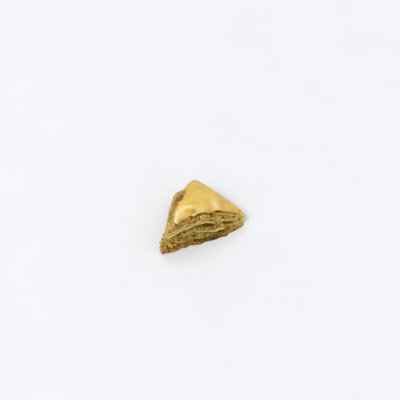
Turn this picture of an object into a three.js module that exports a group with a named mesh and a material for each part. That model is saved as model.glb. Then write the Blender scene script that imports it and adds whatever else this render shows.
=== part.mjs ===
// A triangular piece of pistachio baklava, as cut from a tray: a browned pastry base, a thick
// pistachio filling with pastry leaves in it, and a domed stack of leaves under a glazed top sheet.
// Millimetres, +Z up. The long cut face looks along -Y, and the origin is under the middle of the
// piece, on the surface that it stands on.
import * as THREE from "three";

// Driving dimensions, mm. The corners of the plan go anticlockwise from the front left. Each runs
// from its place at the foot to its place at the top, and "hold" says how long it stays near the
// foot before it draws in.
const crownHeight = 29.5;
const layerGap = 0.3;
const corners = [
  { foot: [-38.5, -22.4], top: [-23.5, -18.8], round: [4, 3.5], hold: 4.2 },
  { foot: [37, -22.7], top: [38.2, -19], round: [3, 2.5], hold: 1.1 },
  { foot: [16.3, 22.2], top: [10.3, 24.2], round: [5, 5], hold: 1.6 },
  { foot: [-6.4, 26.6], top: [-14, 0], round: [5, 8], hold: 2.9 },
];
// How far each side bows out at the foot and at the top: front, right, back and left
const bows = [
  { foot: 3.3, top: -3.9 },
  { foot: 1.5, top: 0 },
  { foot: 1.3, top: 0.4 },
  { foot: -0.2, top: 0 },
];

// The domed top: its crown, how far it drops, and how far out on each side it has dropped that much
const crown = { x: -10, y: -8.5, drop: 14.2, power: 0.8 };
const dropReach = { left: 74, right: 40.5, back: 68, front: 23.5 };

// Shares of the local height where the base meets the filling, and the filling the top stack
const baseShare = 0.15;
const fillingShare = 0.75;

// Leaves and crags on the cut sides
const leafPitch = 1.75; // from one leaf edge to the next
const leafRelief = 0.38; // how far a leaf edge stands out, and the gap below it lies back
const cragRelief = 0.33; // broken edges and nut pieces
const around = 96; // points round the outline

// What stands out of the long cut face (out over 0) and what lies back in it (out under 0). Each
// lies at a share of the height, tapers over a reach above and below, and dips along +X.
const frontLedges = [
  { share: 0.765, reach: 0.028, from: -35, to: 8, dip: 0, out: 1.6 }, // lip of the top stack
  { share: 0.69, reach: 0.035, from: -23, to: 11, dip: 0.002, out: -1.9 }, // gap under the lip
  { share: 0.94, reach: 0.022, from: -9, to: 30, dip: 0, out: -1.2 }, // gap under the top sheet
  { share: 0.4, reach: 0.03, from: -5, to: 18, dip: 0.007, out: 0.9 }, // leaf in the filling
  { share: 0.31, reach: 0.035, from: 0, to: 19, dip: 0.004, out: -1.1 }, // gap under that leaf
  { share: 0.57, reach: 0.035, from: 16, to: 27, dip: 0, out: -1.1 }, // gap in a rolled leaf
  { share: 0.22, reach: 0.04, from: -11, to: -3, dip: 0, out: -0.8 }, // pocket above the base
];

// Folds and hollows of the glazed sheet: middle, half length, half width, turn from +X and height
const sheetFolds = [
  { x: -12.7, y: -9.4, long: 7, wide: 2.2, turn: 0.12, lift: 0.5 },
  { x: -10, y: -13.3, long: 6, wide: 2, turn: 0.05, lift: -0.5 },
  { x: -3.8, y: -12, long: 4.5, wide: 2, turn: -0.9, lift: 0.35 },
  { x: -20.5, y: -16.2, long: 3.5, wide: 2, turn: 1.3, lift: 0.35 },
  { x: 14, y: -12, long: 9, wide: 4, turn: 1.4, lift: 0.4 },
  { x: 8, y: 5, long: 14, wide: 8, turn: 1.2, lift: 0.3 },
];

// Rings of points on the floor face, between the layers and on the top, as shares of the way out
// from the middle
const middle = { x: 3, y: 1 };
const floorRings = [0];
const innerRings = [0, 0.5, 0.86];
const outerFirst = innerRings.toReversed();
const topRings = [0.985, 0.94, 0.88, 0.81, 0.73, 0.64, 0.54, 0.43, 0.3, 0.16, 0];

const mix = (a, b, share) => a + (b - a) * share;
const fade = (value, start, end) => THREE.MathUtils.smoothstep(value, start, end);

// A seeded generator of numbers from 0 to 1
function seeded(seed) {
  let state = seed;
  return () => {
    state = (state + 0x6d2b79f5) | 0;
    let mixed = Math.imul(state ^ (state >>> 15), 1 | state);
    mixed = (mixed + Math.imul(mixed ^ (mixed >>> 7), 61 | mixed)) ^ mixed;
    return ((mixed ^ (mixed >>> 14)) >>> 0) / 4294967296;
  };
}

// A ragged line round the outline, from about -1 to 1, that meets itself
function raggedLine(seed) {
  const random = seeded(seed);
  const waves = [];
  for (let turns = 5; turns <= 31; turns += 2) {
    waves.push({ turns, size: 0.7 / Math.sqrt(turns), phase: random() * 2 * Math.PI });
  }
  const wave = (w, share) => w.size * Math.sin(2 * Math.PI * w.turns * share + w.phase);
  return (share) => waves.reduce((sum, w) => sum + wave(w, share), 0);
}
const raggedLines = Array.from({ length: 40 }, (_, i) => raggedLine(101 + 7 * i));

// Height of the domed top above the floor at a point of the plan
function topHeight(x, y) {
  const alongX = (x - crown.x) / (x < crown.x ? dropReach.left : dropReach.right);
  const alongY = (y - crown.y) / (y < crown.y ? dropReach.front : dropReach.back);
  return crownHeight - crown.drop * (alongX * alongX + alongY * alongY) ** crown.power;
}

// What the folds of the glazed sheet add to that height
function foldHeight(x, y) {
  return sheetFolds.reduce((sum, fold) => {
    const along = (x - fold.x) * Math.cos(fold.turn) + (y - fold.y) * Math.sin(fold.turn);
    const across = (y - fold.y) * Math.cos(fold.turn) - (x - fold.x) * Math.sin(fold.turn);
    return sum + fold.lift * Math.exp(-((along / fold.long) ** 2) - (across / fold.wide) ** 2);
  }, 0);
}

// The outline at a share of the height: rounded corners joined by sides that bow
function outline(share) {
  const drawn = corners.map((corner) => {
    const drawnIn = share ** corner.hold;
    const foot = new THREE.Vector2(...corner.foot);
    const point = foot.lerp(new THREE.Vector2(...corner.top), drawnIn);
    return { point, round: mix(corner.round[0], corner.round[1], drawnIn) };
  });
  const path = new THREE.Path();
  drawn.forEach((corner, i) => {
    const before = drawn[(i + drawn.length - 1) % drawn.length];
    const after = drawn[(i + 1) % drawn.length];
    const along = after.point.clone().sub(corner.point).normalize();
    const back = before.point.clone().sub(corner.point).normalize();
    const enter = corner.point.clone().addScaledVector(back, corner.round);
    const leave = corner.point.clone().addScaledVector(along, corner.round);
    const next = after.point.clone().addScaledVector(along, -after.round);
    const half = leave.clone().add(next).multiplyScalar(0.5);
    const bow = 2 * mix(bows[i].foot, bows[i].top, share);
    if (i === 0) path.moveTo(enter.x, enter.y);
    path.quadraticCurveTo(corner.point.x, corner.point.y, leave.x, leave.y);
    path.quadraticCurveTo(half.x + along.y * bow, half.y - along.x * bow, next.x, next.y);
  });
  return path.getSpacedPoints(around).slice(0, around);
}

// The way out at a point of an outline: of length 1 along a side, and shorter round a sharp corner
function outwardAt(loop, i) {
  const next = loop[(i + 2) % around];
  const last = loop[(i + around - 2) % around];
  const spacing = loop[0].distanceTo(loop[1]);
  return new THREE.Vector2(next.y - last.y, last.x - next.x).divideScalar(4 * spacing);
}

// How far the cut face stands out because of the ledges and gaps of the front
function ledgeRelief(share, x, outward) {
  const facing = fade(-outward.y, 0.4, 0.85);
  return frontLedges.reduce((sum, ledge) => {
    const level = ledge.share - ledge.dip * (x - (ledge.from + ledge.to) / 2);
    const taper = Math.exp(-(((share - level) / ledge.reach) ** 2));
    const ends = fade(x, ledge.from, ledge.from + 4) * (1 - fade(x, ledge.to - 4, ledge.to));
    return sum + facing * ledge.out * taper * ends;
  }, 0);
}

// How far a leaf edge or the gap below it stands out, ragged along its length
function leafEdge(level, turn) {
  const out = level % 2 ? leafRelief : -leafRelief;
  const uneven = raggedLines[(level + 13) % raggedLines.length](turn);
  return out * (1 + 0.5 * uneven) + cragRelief * raggedLines[level % raggedLines.length](turn);
}

// One layer of the piece as a closed solid. A unit lathe profile runs from the axis out along the
// underside, up the cut side and back over the top. Each ring of it is then laid on the outline.
function layerGeometry({ low, high, firstLevel, under, over }) {
  const levels = Math.round(((high - low) * crownHeight * 2) / leafPitch);
  const rise = layerGap / 2;
  const stations = [
    ...under.map((out) => ({ out, share: low, lift: rise, level: firstLevel })),
    ...Array.from({ length: levels + 1 }, (_, i) => ({
      out: 1,
      share: mix(low, high, i / levels),
      lift: mix(rise, -rise, i / levels),
      level: firstLevel + i,
    })),
    ...over.map((out) => ({ out, share: high, lift: -rise, level: firstLevel + levels })),
  ];
  const profile = stations.map((station, i) => new THREE.Vector2(station.out, i));
  const geometry = new THREE.LatheGeometry(profile, around);
  const places = geometry.getAttribute("position");
  stations.forEach(({ out, share, lift, level }, ring) => {
    const loop = outline(share);
    for (let i = 0; i <= around; i += 1) {
      const here = loop[i % around];
      const outward = outwardAt(loop, i);
      const relief = leafEdge(level, (i % around) / around) + ledgeRelief(share, here.x, outward);
      const stand = relief * out ** 8;
      const x = mix(middle.x, here.x, out) + outward.x * stand;
      const y = mix(middle.y, here.y, out) + outward.y * stand;
      const folds = share === 1 ? foldHeight(x, y) : 0;
      const gap = share === 0 || share === 1 ? 0 : lift;
      places.setXYZ(i * stations.length + ring, x, y, share * (topHeight(x, y) + folds) + gap);
    }
  });
  return geometry;
}

const layers = [
  {
    name: "base_pastry",
    body: { low: 0, high: baseShare, firstLevel: 0, under: floorRings, over: outerFirst },
    finish: { color: 0xa6743c, roughness: 0.6, metalness: 0 },
  },
  {
    name: "nut_filling",
    body: { low: baseShare, high: fillingShare, firstLevel: 6, under: innerRings, over: outerFirst },
    finish: { color: 0x978239, roughness: 0.7, metalness: 0 },
  },
  {
    name: "top_pastry",
    body: { low: fillingShare, high: 1, firstLevel: 27, under: innerRings, over: topRings },
    finish: { color: 0xdcb868, roughness: 0.35, metalness: 0 },
  },
];

const baklava = new THREE.Group();
layers.forEach(({ name, body, finish }) => {
  const mesh = new THREE.Mesh(layerGeometry(body), new THREE.MeshStandardMaterial(finish));
  mesh.name = name;
  baklava.add(mesh);
});

export default baklava;
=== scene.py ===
# A cut triangle of pistachio baklava: browned pastry base, nut filling with pastry leaves in it,
# and a domed stack of leaves under one glazed sheet. Sizes are in millimetres until a mesh is made.
import itertools
import math

import bpy
import numpy as np
from mathutils import Matrix


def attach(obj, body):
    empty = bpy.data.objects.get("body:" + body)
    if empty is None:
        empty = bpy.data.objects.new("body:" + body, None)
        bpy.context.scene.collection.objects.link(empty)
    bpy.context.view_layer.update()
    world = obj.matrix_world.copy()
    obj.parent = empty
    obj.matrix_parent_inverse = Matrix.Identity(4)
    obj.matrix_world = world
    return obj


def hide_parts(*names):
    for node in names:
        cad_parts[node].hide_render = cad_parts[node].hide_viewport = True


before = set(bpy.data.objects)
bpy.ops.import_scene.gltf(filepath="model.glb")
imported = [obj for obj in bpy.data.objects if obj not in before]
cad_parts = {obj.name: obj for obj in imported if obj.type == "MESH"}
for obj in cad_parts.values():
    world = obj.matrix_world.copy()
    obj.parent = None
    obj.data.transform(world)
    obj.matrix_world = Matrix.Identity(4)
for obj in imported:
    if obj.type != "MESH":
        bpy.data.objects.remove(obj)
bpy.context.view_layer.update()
print("frame loaded:", ", ".join(sorted(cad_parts)))

mm = 0.001
usualHeight = 24.0  # of the cut sides, which turns a share of the height to a distance

# The form of the piece. Corners go anticlockwise from the front left, each from its place at the
# foot to its place at the top, and "hold" says how long it stays near the foot.
pieceForm = {
    "crownHeight": 29.5,
    "crown": (-10.0, -8.5),
    "drop": 14.2,
    "dropPower": 0.8,
    "dropReach": {"left": 74.0, "right": 40.5, "back": 68.0, "front": 23.5},
    "corners": [
        {"foot": (-38.5, -22.4), "top": (-23.5, -18.8), "round": (4.0, 3.5), "hold": 4.2},
        {"foot": (37.0, -22.7), "top": (38.2, -19.0), "round": (3.0, 2.5), "hold": 1.1},
        {"foot": (16.3, 22.2), "top": (10.3, 24.2), "round": (5.0, 5.0), "hold": 1.6},
        {"foot": (-6.4, 26.6), "top": (-14.0, 0.0), "round": (5.0, 8.0), "hold": 2.9},
    ],
    "bows": [(3.3, -3.9), (1.5, 0.0), (1.3, 0.4), (-0.2, 0.0)],  # foot and top, front first
    "middle": (3.0, 1.0),
    # more bows at the foot of the long cut face: where along x, half width, and how far out
    "footBows": [(13, 11, 1.1), (-15, 8, -1.1), (-26, 4, 1.2)],
    "footCorner": -1.3,  # how far out the foot stands at the right corner
    "leftHollow": (-9, 8, 1.4),  # where along y, half width, and how far in the left side lies
}
baseShare = 0.15  # shares of the local height where the layers meet
fillingShare = 0.75

turnCount = 640  # points round the outline
shareCount = 101  # outlines from the foot to the top
cornerPoints = 14
sidePoints = 60
outwardReach = 13  # points to each side that give the way out


def mix(a, b, share):
    return a + (b - a) * share


def fade(value, start, end):
    t = np.clip((value - start) / (end - start), 0, 1)
    return t * t * (3 - 2 * t)


def soft(away, half):
    # 1 in the middle, tapering off over this half width
    return np.exp(-((away / half) ** 2))


def topHeight(x, y):
    crownX, crownY = pieceForm["crown"]
    reach = pieceForm["dropReach"]
    alongX = (x - crownX) / np.where(x < crownX, reach["left"], reach["right"])
    alongY = (y - crownY) / np.where(y < crownY, reach["front"], reach["back"])
    drop = pieceForm["drop"] * (alongX**2 + alongY**2) ** pieceForm["dropPower"]
    return pieceForm["crownHeight"] - drop


def bend(start, control, end, count):
    t = np.linspace(0, 1, count, endpoint=False)[:, None]
    return (1 - t) ** 2 * start + 2 * t * (1 - t) * control + t**2 * end


def evenly(points, count, closed=True):
    # the same line with its points an equal way apart
    line = np.vstack([points, points[:1]]) if closed else points
    run = np.r_[0, np.cumsum(np.linalg.norm(np.diff(line, axis=0), axis=1))]
    at = np.linspace(0, run[-1], count, endpoint=not closed)
    return np.stack([np.interp(at, run, line[:, k]) for k in range(line.shape[1])], -1)


def smoothed(values, count):
    # a running mean over so many values, which keeps the ends
    padded = np.pad(values, count // 2, mode="edge")
    return np.convolve(padded, np.ones(count) / count, "valid")


def outline(share):
    places, rounds = [], []
    for corner in pieceForm["corners"]:
        drawnIn = share ** corner["hold"]
        places.append(mix(np.array(corner["foot"]), np.array(corner["top"]), drawnIn))
        rounds.append(mix(*corner["round"], drawnIn))
    path = []
    for i, place in enumerate(places):
        after, before = places[(i + 1) % 4], places[i - 1]
        along = (after - place) / np.linalg.norm(after - place)
        back = (before - place) / np.linalg.norm(before - place)
        leave = place + along * rounds[i]
        enterNext = after - along * rounds[(i + 1) % 4]
        bow = 2 * mix(*pieceForm["bows"][i], share)
        side = (leave + enterNext) / 2 + np.array([along[1], -along[0]]) * bow
        path.append(bend(place + back * rounds[i], place, leave, cornerPoints))
        path.append(bend(leave, side, enterNext, sidePoints))
    return evenly(np.concatenate(path), turnCount)


wallShares = np.linspace(0, 1, shareCount)
wallTurns = np.arange(turnCount) / turnCount
wallTable = np.stack([outline(share) for share in wallShares])
wallStep = np.linalg.norm(wallTable[:, 1] - wallTable[:, 0], axis=-1)[:, None, None]
wallAhead = np.roll(wallTable, -outwardReach, axis=1) - np.roll(wallTable, outwardReach, axis=1)
wallOutward = np.stack([wallAhead[..., 1], -wallAhead[..., 0]], -1) / (2 * outwardReach * wallStep)


def lookUp(table, turn, share):
    # value of a wall table between its points; turn goes from 0 to 1 round the outline
    row = np.clip(np.asarray(share, float), 0, 1) * (shareCount - 1)
    column = (np.asarray(turn, float) % 1) * turnCount
    row0 = np.minimum(row.astype(int), shareCount - 2)
    column0 = column.astype(int) % turnCount
    column1 = (column0 + 1) % turnCount
    up = (row - row0)[..., None]
    over = (column - np.floor(column))[..., None]
    low = mix(table[row0, column0], table[row0, column1], over)
    high = mix(table[row0 + 1, column0], table[row0 + 1, column1], over)
    return mix(low, high, up)


def outwardAt(turn, share):
    return lookUp(wallOutward, turn, share)


def facingFront(outward):
    # 1 on the long cut face and 0 on the other sides
    return fade(-outward[..., 1], 0.35, 0.8)


def facingLeft(outward):
    # 1 on the left side
    return fade(-outward[..., 0], 0.35, 0.7)


def sideBow(x, y, share):
    # bows of the foot of the long cut face, and the hollow of the left side above its foot
    belly = pieceForm["footCorner"] * fade(x, 30, 36)
    for at, half, out in pieceForm["footBows"]:
        belly = belly + out * soft(x - at, half)
    at, half, depth = pieceForm["leftHollow"]
    hollow = depth * soft(y - at, half) * fade(-x, 13, 18)
    hollow = hollow * fade(share, 0.15, 0.4) * (1 - fade(share, 0.9, 1))
    return belly * fade(-y, 8, 16) * (1 - fade(share, 0.1, 0.45)) - hollow


def wallPoint(turn, share, out=0.0):
    # a point of the cut sides, standing out of them by so many millimetres
    turn, share = np.broadcast_arrays(np.asarray(turn, float), np.asarray(share, float))
    out = np.broadcast_to(out, turn.shape)
    plan = lookUp(wallTable, turn, share)
    out = out + sideBow(plan[..., 0], plan[..., 1], share)
    plan = plan + outwardAt(turn, share) * out[..., None]
    height = share * topHeight(plan[..., 0], plan[..., 1])
    return np.concatenate([plan, height[..., None]], -1)


def frontTurn(x, share):
    # the turn of the long cut face that lies at this x
    row = wallTable[int(round(float(np.clip(share, 0, 1)) * (shareCount - 1)))]
    first = int(np.argmin(row[: turnCount // 2, 0]))
    last = int(np.argmax(row[:, 0]))
    return float(np.interp(x, row[first:last, 0], np.arange(first, last)) / turnCount)


def shareOf(points):
    return points[:, 2] / topHeight(points[:, 0], points[:, 1])


def lumps(points, size, seed):
    # smooth noise from 0 to 1 whose lumps have this size; the large numbers scramble each cell's own
    at = np.asarray(points, float) / size
    cell = np.floor(at).astype(np.int64)
    part = at - cell
    part = part * part * (3 - 2 * part)
    total = 0
    for corner in itertools.product((0, 1), repeat=3):
        mixed = ((cell + corner) * (73856093, 19349663, 83492791)).sum(-1) + seed * 9176213
        mixed = (mixed ^ (mixed >> 13)) * 1274126177
        value = ((mixed ^ (mixed >> 16)) & 0xFFFF) / 65535
        total = total + value * np.prod(np.where(np.array(corner) == 1, part, 1 - part), axis=-1)
    return total


def wavy(turn, seed, low=3, high=40, step=3):
    # a ragged line round the outline, from about -1 to 1, that meets itself
    phases = np.random.default_rng(seed).uniform(0, 2 * math.pi, 200)
    total = np.zeros_like(np.asarray(turn, float))
    for turns in range(low, high, step):
        total += math.sqrt(low / turns) * np.sin(2 * math.pi * turns * turn + phases[turns])
    return total * 0.55


# Helpers for colours, nodes and meshes

def srgb(hexColour):
    # an sRGB hex value as linear red, green, blue and alpha
    parts = [int(hexColour[i : i + 2], 16) / 255 for i in (1, 3, 5)]
    return [c / 12.92 if c <= 0.04045 else ((c + 0.055) / 1.055) ** 2.4 for c in parts] + [1]


def addNode(tree, kind, inputs=(), **settings):
    # adds a node with its settings and links. The inputs are a row for the sockets in use, or a
    # dictionary by socket name, and each is a value, or the node or socket that it comes from.
    node = tree.nodes.new(kind)
    for name, value in settings.items():
        setattr(node, name, value)
    used = [socket for socket in node.inputs if socket.enabled]
    if isinstance(inputs, dict):
        named = {socket.name: socket for socket in reversed(used)}
        pairs = [(named[name], value) for name, value in inputs.items()]
    else:
        pairs = zip(used, inputs)
    for socket, value in pairs:
        if isinstance(value, bpy.types.Node):
            value = next(output for output in value.outputs if output.enabled)
        if isinstance(value, bpy.types.NodeSocket):
            tree.links.new(value, socket)
        else:
            socket.default_value = value
    return node


def newShapeTree(name, sizes):
    # an empty geometry tree with one input for each named size
    tree = bpy.data.node_groups.new(name, "GeometryNodeTree")
    tree.interface.new_socket("Geometry", in_out="INPUT", socket_type="NodeSocketGeometry")
    for size, value in sizes.items():
        kind = "NodeSocketInt" if isinstance(value, int) else "NodeSocketFloat"
        tree.interface.new_socket(size, in_out="INPUT", socket_type=kind).default_value = value
    tree.interface.new_socket("Geometry", in_out="OUTPUT", socket_type="NodeSocketGeometry")
    return tree, tree.nodes.new("NodeGroupInput").outputs, tree.nodes.new("NodeGroupOutput")


def endShapeTree(tree, result, geometry, material):
    # instances are made real, because the export drops them
    real = addNode(tree, "GeometryNodeRealizeInstances", [geometry])
    painted = addNode(tree, "GeometryNodeSetMaterial", {"Geometry": real, "Material": material})
    tree.links.new(painted.outputs[0], result.inputs[0])


def shapeWith(tree, obj, sizes):
    # runs a geometry tree on an object and keeps the result as its plain mesh
    modifier = obj.modifiers.new(tree.name, "NODES")
    modifier.node_group = tree
    for socket in tree.interface.items_tree:
        if socket.in_out == "INPUT" and socket.name in sizes:
            modifier[socket.identifier] = sizes[socket.name]
    evaluated = obj.evaluated_get(bpy.context.evaluated_depsgraph_get())
    mesh = bpy.data.meshes.new_from_object(evaluated)
    obj.modifiers.remove(modifier)
    obj.data = mesh
    mesh.name = obj.name


def newObject(name, data):
    obj = bpy.data.objects.new(name, data)
    bpy.context.scene.collection.objects.link(obj)
    return obj


def newMesh(name, points, faces=(), edges=()):
    mesh = bpy.data.meshes.new(name)
    mesh.from_pydata((np.asarray(points) * mm).tolist(), edges, faces)
    mesh.update()
    return newObject(name, mesh)


def setAttribute(obj, name, values):
    values = np.asarray(values, float)
    kind, field = ("FLOAT", "value") if values.ndim == 1 else ("FLOAT_VECTOR", "vector")
    attribute = obj.data.attributes.get(name) or obj.data.attributes.new(name, kind, "POINT")
    attribute.data.foreach_set(field, values.ravel())


def attributeOf(obj, name):
    values = np.empty(len(obj.data.vertices))
    obj.data.attributes[name].data.foreach_get("value", values)
    return values


def pointsOf(obj):
    flat = np.empty(len(obj.data.vertices) * 3)
    obj.data.vertices.foreach_get("co", flat)
    return flat.reshape(-1, 3) / mm


def restOnFloor(obj):
    # what would lie under the floor is pressed flat on it
    places = pointsOf(obj)
    places[:, 2] = np.maximum(places[:, 2], 0)
    obj.data.vertices.foreach_set("co", (places * mm).ravel())
    obj.data.update()


def report(stage, *pieces):
    print(stage, sum(len(piece.data.polygons) for piece in pieces), "faces")


def closedShell(name, rings):
    # a solid from rings of points that run from the middle below, up the side and over the top
    count = len(rings[0])
    points = np.vstack([rings[0].mean(0), *rings, rings[-1].mean(0)])
    faces = []
    for k in range(len(rings) - 1):
        low, high = 1 + k * count, 1 + (k + 1) * count
        for i in range(count):
            j = (i + 1) % count
            faces.append((low + i, low + j, high + j, high + i))
    last = 1 + (len(rings) - 1) * count
    for i in range(count):
        j = (i + 1) % count
        faces.append((0, 1 + j, 1 + i))
        faces.append((len(points) - 1, last + i, last + j))
    obj = newMesh(name, points, faces)
    obj.data.shade_smooth()
    return obj


# Patches of the cut sides, as soft ovals laid over each other: the middle and the half sizes (x, y
# and share of the height), then how toasted, green and crumbly the patch is, and how darkened by syrup and
# painted shade
patchMarks = ("toast", "green", "crumbly", "soakedAndShaded")
patches = [
    ((-34.5, -22, 0.2), (4.2, 6, 0.28), (1.0, 0.0, 1.0, 0.0)),  # caught in the oven
    ((-24, -23, 0.05), (3.5, 6, 0.12), (0.85, 0.0, 0.9, 0.2)),
    ((-14, -24, 0.19), (9.0, 6, 0.14), (0.5, 0.3, 0.15, 1.0)),
    # darker at the undercut foot, partly as painted shade
    ((5, -24, 0.06), (11.0, 6, 0.13), (0.2, 0.95, 0.4, 1.0)),
    ((3, -22, 0.30), (11.0, 7, 0.15), (0.08, 0.9, 0.1, 0.6)),  # smooth green paste
    ((-11, -22, 0.47), (8.5, 7, 0.16), (0.12, 0.65, 0.1, 0.5)),
    ((-29, -22, 0.45), (8.5, 7, 0.28), (0.1, 0.0, 0.9, 0.0)),  # crumbly left end
    ((-14, -21, 0.63), (12.0, 7, 0.07), (0.15, 0.4, 0.9, 0.4)),
    ((5.5, -21, 0.58), (5.0, 7, 0.09), (0.45, 0.05, 0.3, 0.9)),  # inside of the open fold
    ((-19, -18, 0.9), (11.0, 7, 0.11), (0.62, 0.05, 0.9, 0.2)),
    ((-9, -16, 1.0), (4.5, 5, 0.07), (0.55, 0.0, 0.2, 0.1)),
    ((4, -17, 0.84), (9.0, 7, 0.09), (0.2, 0.1, 1.0, 0.0)),
    ((11, -17, 0.87), (2.0, 6, 0.06), (0.8, 0.1, 0.5, 0.3)),
    ((24, -19, 0.86), (12.0, 7, 0.12), (0.1, 0.25, 0.9, 0.1)),
    ((15, -21, 0.52), (5.0, 7, 0.12), (0.2, 0.4, 1.0, 0.1)),
    ((26, -21, 0.5), (10.0, 7, 0.16), (0.15, 0.3, 0.4, 0.2)),
    ((24, -22, 0.12), (12.0, 7, 0.24), (0.12, 0.45, 0.5, 0.6)),
    ((34, -20, 0.4), (6.0, 7, 0.4), (0.0, 0.1, 0.4, 0.0)),
    ((-12, 3, 0.95), (7.0, 9, 0.15), (0.74, 0.0, 0.9, 1.0)),  # where the sheet has broken off; darkened there partly as painted shade
    ((-24, -9, 0.85), (7.0, 9, 0.15), (0.2, 0.4, 0.9, 0.3)),
]
# What holds for all sides: the usual strength, what the base and the top stack add to it, and how
# much noise, of which size in mm and with which seed
broadZones = {
    "toast": (0.2, 0.4, 0.25, 0.35, 7.0, 3),
    "green": (0.6, -0.5, -0.35, 0.7, 8.0, 5),
    "crumbly": (0.65, 0.0, 0.0, 0.8, 9.0, 6),
    "soakedAndShaded": (0.2, 0.3, 0.0, 0.6, 5.0, 7),
}
broadWeight = 0.3
patchWeight = 1.6


def zones(points):
    # how toasted, green and crumbly each point is, and how darkened by syrup and painted shade, from 0 to 1
    share = np.clip(shareOf(points), 0, 1)
    nearBase = 1 - fade(share, 0.12, 0.3)
    nearTop = fade(share, 0.72, 0.92)
    totals = {}
    for name, (usual, atBase, atTop, uneven, size, seed) in broadZones.items():
        broad = usual + atBase * nearBase + atTop * nearTop + uneven * (lumps(points, size, seed) - 0.5)
        totals[name] = broadWeight * broad
    weights = broadWeight
    for (x, y, level), (halfX, halfY, halfShare), strengths in patches:
        away = ((points[:, 0] - x) / halfX) ** 2 + ((points[:, 1] - y) / halfY) ** 2
        weight = patchWeight * np.exp(-away - ((share - level) / halfShare) ** 2)
        weights = weights + weight
        for name, strength in zip(patchMarks, strengths):
            totals[name] = totals[name] + weight * strength
    fine = 0.25 * (lumps(points, 2.6, 4) - 0.5)
    return {name: np.clip(total / weights + fine, 0, 1) for name, total in totals.items()}


def paintZones(obj):
    made = zones(pointsOf(obj))
    for name in ("toast", "green", "soakedAndShaded"):
        setAttribute(obj, name, made[name])


# Materials. A look names its sources: marks that the mesh carries, and noise with its size in mm,
# detail and roughness. A layer of colour is a source, where it starts to show and where it shows
# most, its strength, its colour, and how it is laid on. A colour may also be a row of two, which a
# chunk's own number mixes. A shade is a source, its range, and how dark and how light it turns the
# colour. What "follows" is an input of the shader, with a source, its range and what that becomes.

def newMaterial(name, look):
    material = bpy.data.materials.new(name)
    material.use_nodes = True
    tree = material.node_tree
    tree.nodes.clear()
    place = addNode(tree, "ShaderNodeTexCoord").outputs["Object"]
    sources = {}
    for mark in look["marks"]:
        sources[mark] = addNode(tree, "ShaderNodeAttribute", attribute_name=mark).outputs["Fac"]
    for noise, (sizeMm, detail, rough) in look["noise"].items():
        inputs = {"Vector": place, "Scale": 1 / (sizeMm * mm), "Detail": detail, "Roughness": rough}
        sources[noise] = addNode(tree, "ShaderNodeTexNoise", inputs)
    return material, tree, sources


def colourFrom(tree, sources, colour):
    if isinstance(colour, str):
        return srgb(colour)
    first, second, low, high = colour
    share = addNode(tree, "ShaderNodeMapRange", (sources["bit"], low, high))
    return addNode(tree, "ShaderNodeMix", (share, srgb(first), srgb(second)), data_type="RGBA")


def finishMaterial(tree, sources, look):
    # lays the colours and shades over the first colour, and adds the shader
    colour = colourFrom(tree, sources, look["firstColour"])
    for source, low, high, strength, over, how in look["layers"]:
        share = addNode(tree, "ShaderNodeMapRange", (sources[source], low, high, 0.0, strength))
        inputs = (share, colour, colourFrom(tree, sources, over))
        colour = addNode(tree, "ShaderNodeMix", inputs, data_type="RGBA", blend_type=how)
    for source, *ranges in look["shades"]:
        shade = addNode(tree, "ShaderNodeMapRange", (sources[source], *ranges))
        inputs = (1.0, colour, shade)
        colour = addNode(tree, "ShaderNodeMix", inputs, data_type="RGBA", blend_type="MULTIPLY")
    surface = look["surface"] | {"Base Color": colour}
    for name, (source, *ranges) in look["follows"].items():
        surface[name] = addNode(tree, "ShaderNodeMapRange", (sources[source], *ranges))
    if "bump" in look:
        source, depthMm, strength = look["bump"]
        inputs = {"Height": sources[source], "Distance": depthMm * mm, "Strength": strength}
        surface["Normal"] = addNode(tree, "ShaderNodeBump", inputs)
    shader = addNode(tree, "ShaderNodeBsdfPrincipled", surface)
    addNode(tree, "ShaderNodeOutputMaterial", [shader])


# Baked yufka under syrup: the syrup film gives a clear wet coat over a satin, butter-yellow sheet
# that goes amber where it dips; on its folds and some patches it is painted paler and pinker, as painted
# highlight.
glazedYufkaLook = {
    "marks": ("pale", "blush", "toast", "green"),
    "noise": {
        "mottle": (9.0, 3.0, 0.5),
        "fibre": (1.1, 3.0, 0.6),
        "film": (3.5, 3.0, 0.5),
        "blister": (0.7, 3.0, 0.6),
    },
    "firstColour": "#e1b138",  # amber
    "layers": [
        ("mottle", 0.36, 0.64, 1.0, "#eec74c", "MIX"),  # butter
        ("fibre", 0.35, 0.7, 0.1, "#fde4a0", "MIX"),
        # painted highlight on the folds and patches of the glaze
        ("pale", 0.0, 1.0, 1.0, "#fde4a0", "MIX"),
        # pinkish tint, partly painted highlight
        ("blush", 0.0, 1.0, 1.0, "#e3ab6c", "MIX"),
        ("toast", 0.0, 1.0, 1.0, "#b97c30", "MIX"),
        ("green", 0.0, 1.0, 1.0, "#a07e22", "MIX"),  # a nut that shows through
    ],
    "shades": [],
    "follows": {"Roughness": ("film", 0.3, 0.7, 0.3, 0.46)},
    "surface": {
        "IOR": 1.46,  # of sugar syrup
        "Coat Weight": 0.55,
        "Coat Roughness": 0.16,
        "Coat IOR": 1.45,
        "Subsurface Weight": 0.12,
        "Subsurface Radius": (1.0, 0.55, 0.2),
        "Subsurface Scale": 1.2 * mm,
    },
    "bump": ("blister", 0.08, 0.6),  # source, depth in mm and strength
}


def glazedYufka():
    material, tree, sources = newMaterial("syrupGlazedYufka", glazedYufkaLook)
    finishMaterial(tree, sources, glazedYufkaLook)
    return material


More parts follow.
